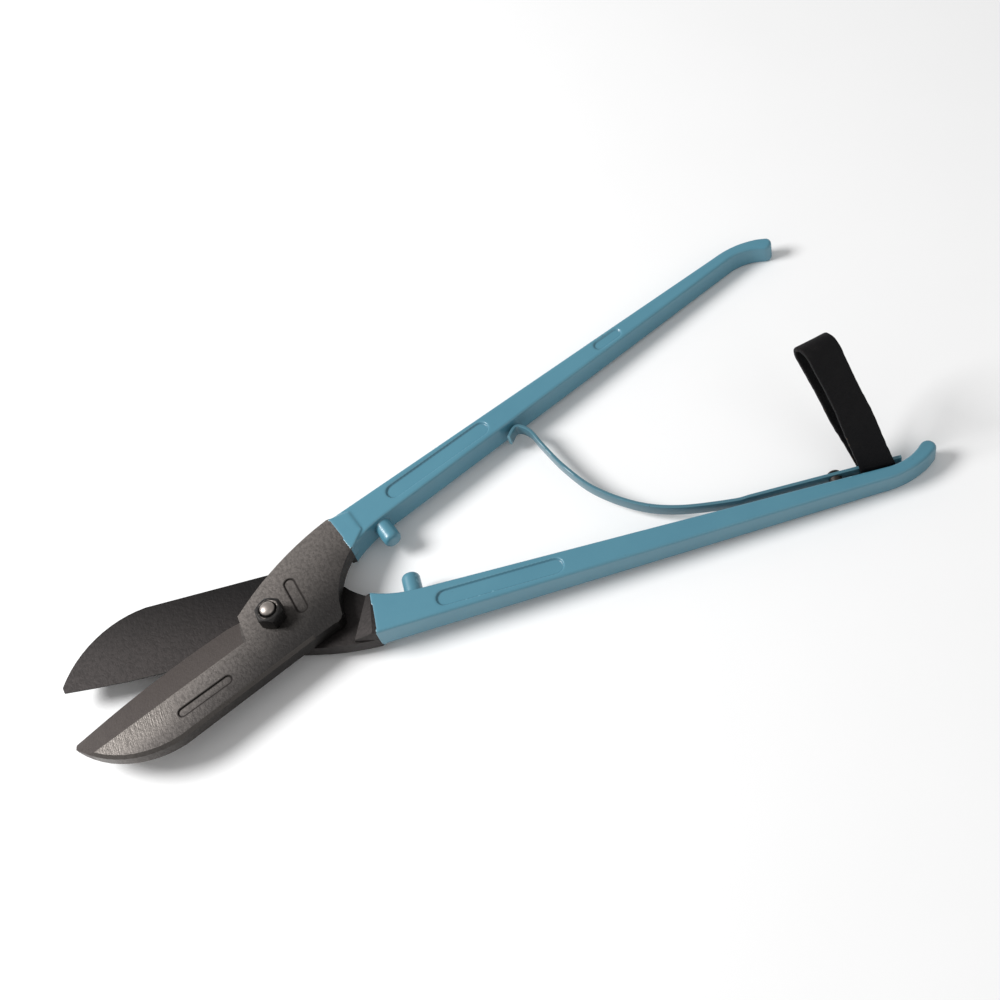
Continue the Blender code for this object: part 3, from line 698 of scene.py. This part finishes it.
def through(points, steps):
    """A smooth curve that passes through every point."""
    line = []
    for i in range(len(points) - 1):
        p0, p1, p2 = points[max(i - 1, 0)], points[i], points[i + 1]
        p3 = points[min(i + 2, len(points) - 1)]
        for k in range(steps):
            t = k / steps
            line.append(0.5 * (2 * p1 + (p2 - p0) * t + (2 * p0 - 5 * p1 + 4 * p2 - p3) * t * t
                               + (3 * p1 - p0 - 3 * p2 + p3) * t ** 3))
    return line + [points[-1]]


def path_object(name, points, closed=False):
    curve = bpy.data.curves.new(name, "CURVE")
    curve.dimensions = "3D"
    spline = curve.splines.new("POLY")
    spline.points.add(len(points) - 1)
    for point, spot in zip(spline.points, points):
        point.co = (*spot, 1)
    spline.use_cyclic_u = closed
    made = bpy.data.objects.new(name, curve)
    bpy.context.scene.collection.objects.link(made)
    return made


leaf_line = [p * MM + Vector((0, 0, MID_Z)) for p in through(leaf_points, 14)]
leaf_path = path_object("leaf_path", leaf_line)
print("leaf is %.0f mm long" % (sum((b - a).length for a, b in zip(leaf_line, leaf_line[1:])) / MM))


# %% A Geometry Nodes tree that sweeps a strip
def strip_tree(name, material):
    tree = bpy.data.node_groups.new(name, "GeometryNodeTree")
    face = tree.interface
    face.new_socket("Geometry", in_out="INPUT", socket_type="NodeSocketGeometry")
    for label in ("Width", "Thickness", "Corner"):
        face.new_socket(label, in_out="INPUT", socket_type="NodeSocketFloat")
    face.new_socket("Geometry", in_out="OUTPUT", socket_type="NodeSocketGeometry")
    nodes, links = tree.nodes, tree.links
    start, end = nodes.new("NodeGroupInput"), nodes.new("NodeGroupOutput")
    section = nodes.new("GeometryNodeCurvePrimitiveQuadrilateral")
    links.new(start.outputs["Thickness"], section.inputs["Width"])
    links.new(start.outputs["Width"], section.inputs["Height"])
    rounded = nodes.new("GeometryNodeFilletCurve")
    rounded.mode = "POLY"
    rounded.inputs["Count"].default_value = 3
    links.new(section.outputs[0], rounded.inputs["Curve"])
    links.new(start.outputs["Corner"], rounded.inputs["Radius"])
    upright = nodes.new("GeometryNodeSetCurveNormal")
    upright.mode = "Z_UP"
    links.new(start.outputs["Geometry"], upright.inputs["Curve"])
    sweep = nodes.new("GeometryNodeCurveToMesh")
    sweep.inputs["Fill Caps"].default_value = True
    links.new(upright.outputs[0], sweep.inputs["Curve"])
    links.new(rounded.outputs[0], sweep.inputs["Profile Curve"])
    real = nodes.new("GeometryNodeRealizeInstances")
    links.new(sweep.outputs[0], real.inputs[0])
    finish = nodes.new("GeometryNodeSetMaterial")
    finish.inputs["Material"].default_value = material
    links.new(real.outputs[0], finish.inputs["Geometry"])
    links.new(finish.outputs[0], end.inputs[0])
    return tree


def swept(path, name, tree, **sizes):
    """Run the tree on a path and keep the result as a plain mesh object."""
    host = path.modifiers.new("sweep", "NODES")
    host.node_group = tree
    for item in tree.interface.items_tree:
        if item.in_out == "INPUT" and item.name in sizes:
            host[item.identifier] = sizes[item.name]
    bpy.context.view_layer.update()
    graph = bpy.context.evaluated_depsgraph_get()
    mesh = bpy.data.meshes.new_from_object(path.evaluated_get(graph))
    bpy.data.objects.remove(path, do_unlink=True)
    work = bmesh.new()
    work.from_mesh(mesh)
    bmesh.ops.remove_doubles(work, verts=work.verts, dist=1e-7)
    bmesh.ops.recalc_face_normals(work, faces=work.faces)
    return piece_from(work, name, mesh.materials[0], 30)


leaf = swept(leaf_path, "return_leaf", strip_tree("strip", leaf_enamel), Width=LEAF_WIDTH * MM,
             Thickness=LEAF_THICK * MM, Corner=0.35 * MM)
print("leaf swept:", len(leaf.data.polygons), "faces")

# %% The strip takes the CAD spring's place
stand_for(leaf, "spring_enamel", "return_spring")
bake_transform(leaf)

# %% [markdown]
# ## Rivets
# Round-headed drive rivets hold the strip.  The front one has a collar under the strip; the
# rear one sits inside the leather loop.

# %% Rivets and collar
def on_handle(work, x):
    """Stand a blank's Z axis up from the rear handle's inner face."""
    spot = off_handle(x, 0.0) * MM + Vector((0, 0, MID_Z))
    stand = Matrix.Rotation(-TILT, 4, "Z") @ Matrix.Rotation(-math.pi / 2, 4, "X")
    bmesh.ops.transform(work, matrix=Matrix.Translation(spot) @ stand, verts=work.verts)
    return work


def rivet(x, radius, height):
    seat = LEAF_OFF + LEAF_THICK / 2 + 0.12
    crown = [(radius * math.sin(a), seat + height * math.cos(a) ** 0.8) for a in
             (math.radians(d) for d in range(0, 86, 9))]
    shank = [(radius, seat + 0.1), (radius - 0.1, seat), (1.3, seat), (1.3, -3.2), (0.9, -3.6), (0, -3.6)]
    return turned(crown + shank, 40)


collar_high = LEAF_OFF - LEAF_THICK / 2 - 0.2
collar = turned([(1.55, collar_high), (2.45, collar_high), (2.6, collar_high - 0.15), (2.6, 0.4),
                 (2.45, 0.25), (1.55, 0.25), (1.55, collar_high)], 40)
for name, work, x, node, slot in (
        ("leaf_rivet_front", rivet(222.0, 2.9, 1.65), 222.0, "spring_rivet_front", "rivet_steel"),
        ("leaf_rivet_rear", rivet(238.2, 2.1, 1.1), 238.2, "spring_rivet_rear", "hidden_steel"),
        ("leaf_collar", collar, 222.0, "spring_collar", "collar_steel")):
    place(piece_from(on_handle(work, x), name, rivet_black), "rear_half", slot, node)

# %% [markdown]
# ## Keeper loop
# A strip of leather is folded round the leaf and closed into a long loop.  It is modelled
# directly as a band: a rounded section is carried round the loop's path, and the leather's
# unevenness, a little sway in the two layers and ragged cut edges, comes from smooth noise.

# %% The loop's path, seen along the leaf
STRAP_X, STRAP_WIDTH, STRAP_THICK, STRAP_LENGTH, STRAP_BEND = 238.2, 13.8, 1.7, 57.5, 4.6
STRAP_TILT, STRAP_LEAN, STRAP_TWIST, CLEAR = math.radians(57), math.radians(15), math.radians(20), 0.3


def loop_path():
    wide = Vector((-math.cos(STRAP_TILT), math.sin(STRAP_TILT))) * LEAF_WIDTH / 2
    thin = Vector((math.sin(STRAP_TILT), math.cos(STRAP_TILT))) * LEAF_THICK / 2
    off = CLEAR + STRAP_THICK / 2
    turns = (0.0, -STRAP_TILT, -STRAP_TILT - math.pi / 2, -math.pi)
    path = []
    for corner, start, end in zip((thin - wide, -wide - thin, wide - thin), turns, turns[1:]):
        path += [corner + Vector((math.cos(a), math.sin(a))) * off
                 for a in (start + (end - start) * i / 8 for i in range(9))]
    bend_y = STRAP_LENGTH - STRAP_BEND - STRAP_THICK / 2
    path += [Vector((-STRAP_BEND * math.cos(a), bend_y + STRAP_BEND * math.sin(a)))
             for a in (math.pi * i / 16 for i in range(17))]
    return path


def evenly(path, count):
    """The closed path with its points spread evenly."""
    ring = path + [path[0]]
    lengths = [(b - a).length for a, b in zip(ring, ring[1:])]
    step, spots, i, left = sum(lengths) / count, [], 0, 0.0
    for k in range(count):
        want = k * step
        while left + lengths[i] < want:
            left += lengths[i]
            i += 1
        spots.append(ring[i].lerp(ring[i + 1], (want - left) / lengths[i]))
    return spots


loop = evenly(loop_path(), 220)
print("leather loop is %.0f mm round" % sum((b - a).length for a, b in zip(loop, loop[1:] + loop[:1])))

# %% Carry a rounded section round the loop
def band_section(columns=14, rounding=0.45):
    """Points (along the leaf, outwards) of the strap's cut section, in mm."""
    half, thick = STRAP_WIDTH / 2, STRAP_THICK / 2
    flat = [-half + rounding + (STRAP_WIDTH - 2 * rounding) * i / (columns - 1) for i in range(columns)]
    bow = [math.radians(d) for d in (60, 30, 0, -30, -60)]
    corner_y = [math.copysign(thick - rounding, a) if a else 0.0 for a in bow]
    edge = [(half - rounding + rounding * math.cos(a), y + rounding * math.sin(a))
            for a, y in zip(bow, corner_y)]
    upper = [(x, thick) for x in flat]
    return upper + edge + [(x, -thick) for x in flat[::-1]] + [(-x, y) for x, y in edge[::-1]]


def loop_frame():
    along = Vector((math.cos(TILT), -math.sin(TILT), 0))
    out = Vector((-along.y, along.x, 0))
    up = out * math.cos(STRAP_TILT) + Vector((0, 0, 1)) * math.sin(STRAP_TILT)
    turned_to = Matrix((up.cross(along), up, along)).transposed().to_4x4()
    turned_to.translation = off_handle(STRAP_X, LEAF_OFF) * MM + Vector((0, 0, MID_Z))
    return turned_to


section = band_section()
work = bmesh.new()
rings = []
for i, spot in enumerate(loop):
    ahead = (loop[(i + 1) % len(loop)] - loop[i - 1]).normalized()
    outward = Vector((-ahead.y, ahead.x)) * -1
    height = max(0.0, spot.y)
    free = min(1.0, height / 12.0)
    ring = []
    for wide, thick in section:
        ragged = noise.noise(Vector((i * 0.25, wide, 3.0))) * 0.16
        wave = noise.noise(Vector((spot.x * 0.05, spot.y * 0.07, 7.0))) * 0.5 * free
        swell = noise.noise(Vector((i * 0.09, wide * 0.25, 1.0))) * 0.10
        flat = spot + outward * (thick * (1 + swell) + wave)
        far = wide * (1 - 0.02 * math.sin(height * 0.21)) + (ragged if abs(wide) > 6.1 else 0)
        lean = math.tan(STRAP_LEAN)
        share = height / STRAP_LENGTH
        twist = STRAP_TWIST * min(1.0, 2.0 * share)
        across_x = flat.x * math.cos(twist) + far * math.sin(twist)
        along_z = far * math.cos(twist) - flat.x * math.sin(twist) - lean * height
        tip = flat.y + 0.3 * lean * far * share
        ring.append(work.verts.new((across_x * MM, tip * MM, along_z * MM)))
    rings.append(ring)
for one, two in zip(rings, rings[1:] + rings[:1]):
    for k in range(len(section)):
        work.faces.new((one[k], two[k], two[(k + 1) % len(section)], one[(k + 1) % len(section)]))
bmesh.ops.recalc_face_normals(work, faces=work.faces)
bmesh.ops.transform(work, matrix=loop_frame(), verts=work.verts)
strap = piece_from(work, "keeper_loop", leather, 60)
smoother = strap.modifiers.new("soft", "SUBSURF")
smoother.levels = 1
smoother.render_levels = 1
bake(strap)
stand_for(strap, "leather", "keeper_strap")
stand = loop_frame()
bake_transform(strap)
